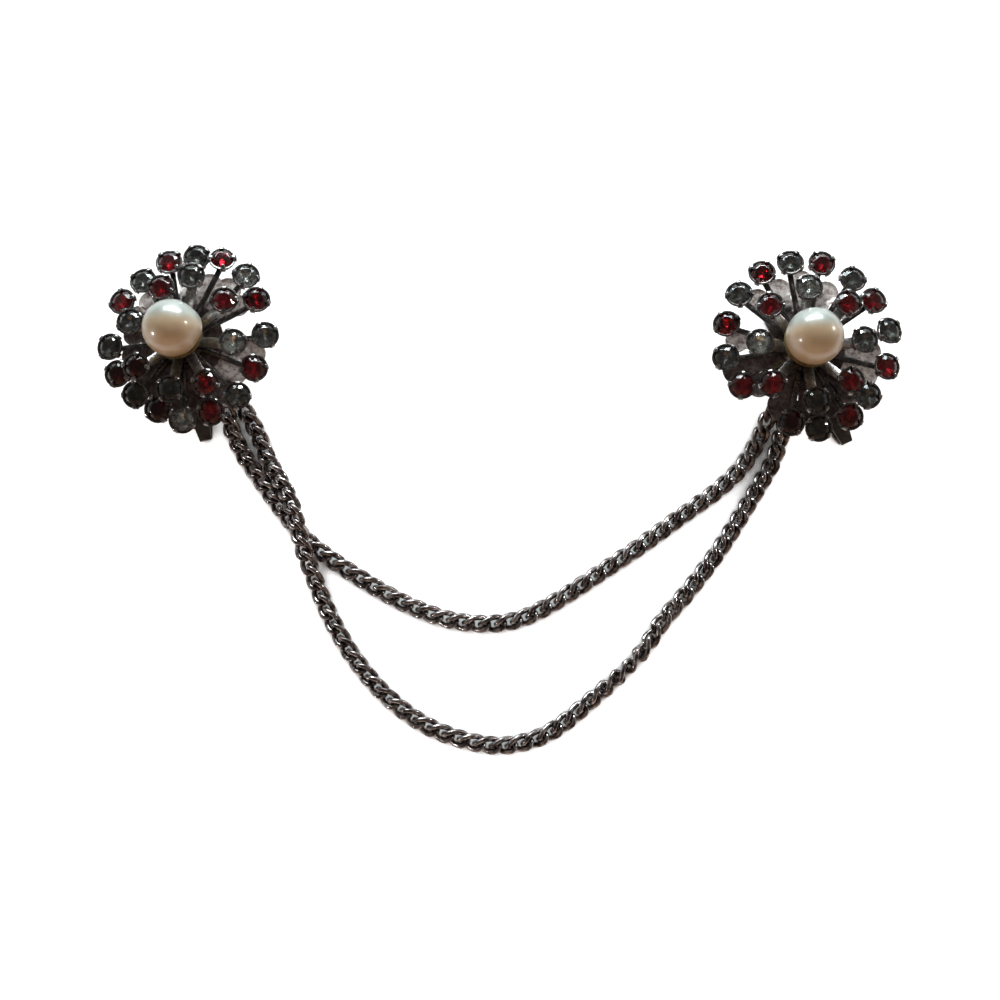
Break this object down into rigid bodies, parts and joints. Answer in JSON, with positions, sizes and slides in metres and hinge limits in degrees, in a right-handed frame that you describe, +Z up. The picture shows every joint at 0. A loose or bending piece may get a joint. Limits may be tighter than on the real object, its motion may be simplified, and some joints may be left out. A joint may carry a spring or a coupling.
{
  "type": "sweater clip",
  "caption": "Pair of jewelled burst ornaments, each round a pearl and on a spring clip, joined by two strands of curb chain.",
  "frame": {"origin": "middle of the object's box in plan, on the surface that it lies on", "axes": "+X from the left burst to the right one, +Y from the chain's sag towards the bursts, +Z up off the surface"},
  "size_m": [0.1434, 0.0902, 0.0173],
  "materials": {
    "setting_metal": "darkened silver plate, worn bright on the edges",
    "plate_metal": "tarnished silver plate",
    "clip_metal": "plated, worn",
    "chain_metal": "darkened silver plate",
    "post_metal": "bare brass, dulled",
    "pearl_coat": "pearl coating on a bead",
    "red_glass": "cut and foiled at the back",
    "clear_glass": "cut and foiled at the back, greyed with age"
  },
  "bodies": {
    "root": {"left_clip": "clip_metal", "left_back_plate": "plate_metal", "left_outer_burst": "setting_metal", "left_inner_burst": "setting_metal", "left_pearl_post": "post_metal", "left_pearl": "pearl_coat", "left_red_stones": "red_glass", "left_clear_stones": "clear_glass", "right_clip": "clip_metal", "right_back_plate": "plate_metal", "right_outer_burst": "setting_metal", "right_inner_burst": "setting_metal", "right_pearl_post": "post_metal", "right_pearl": "pearl_coat", "right_red_stones": "red_glass", "right_clear_stones": "clear_glass", "lower_chain": "chain_metal", "upper_chain": "chain_metal"}
  },
  "joints": []
}
